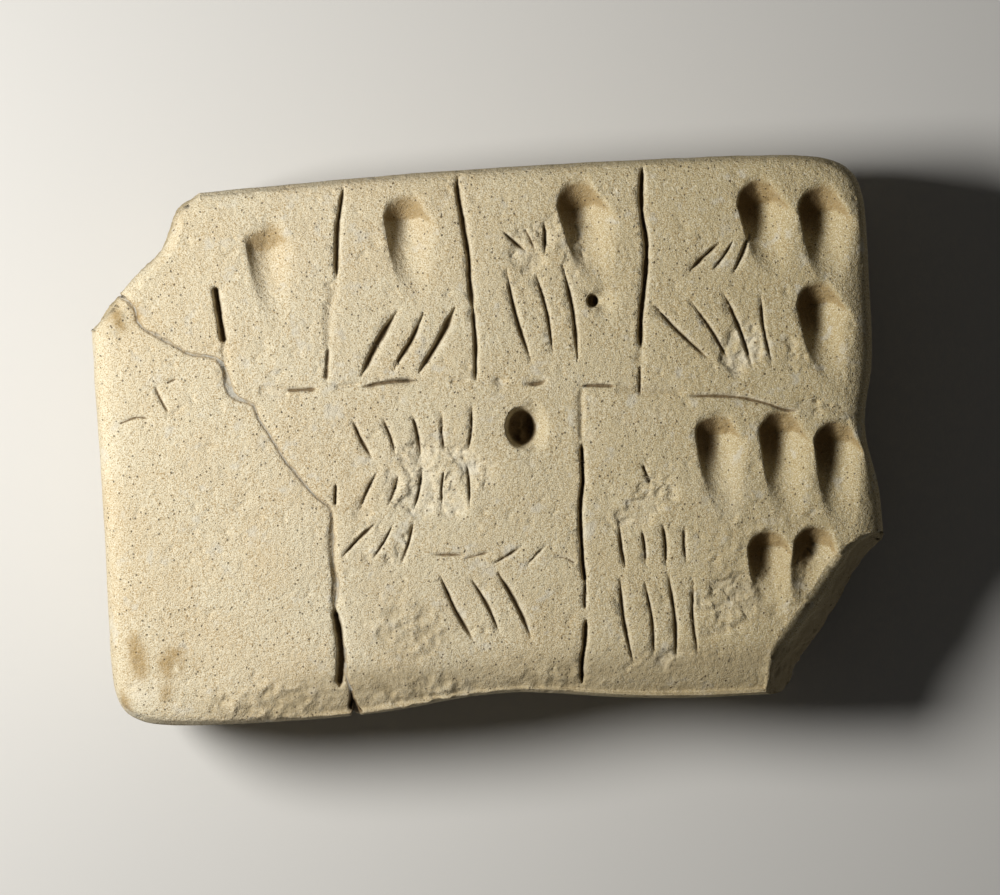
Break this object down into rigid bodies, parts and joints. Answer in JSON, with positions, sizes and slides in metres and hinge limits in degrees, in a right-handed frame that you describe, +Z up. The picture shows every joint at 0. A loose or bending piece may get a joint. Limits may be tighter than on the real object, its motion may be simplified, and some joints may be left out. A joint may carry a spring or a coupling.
{
  "type": "clay tablet with stylus impressions",
  "caption": "Ancient cushion-shaped clay tablet, ruled into cases with round-stylus dents and shallow strokes, two corners broken and one break mended.",
  "frame": {"origin": "middle of the tablet's outline at the level of its flat spot, on which it lies", "axes": "+X to the right of the inscribed face, along its long side; +Y towards its top edge; +Z up, out of the inscribed face"},
  "size_m": [0.0784, 0.0544, 0.021],
  "materials": {
    "clay": "matte"
  },
  "bodies": {
    "root": {"tablet": "clay"}
  },
  "joints": []
}
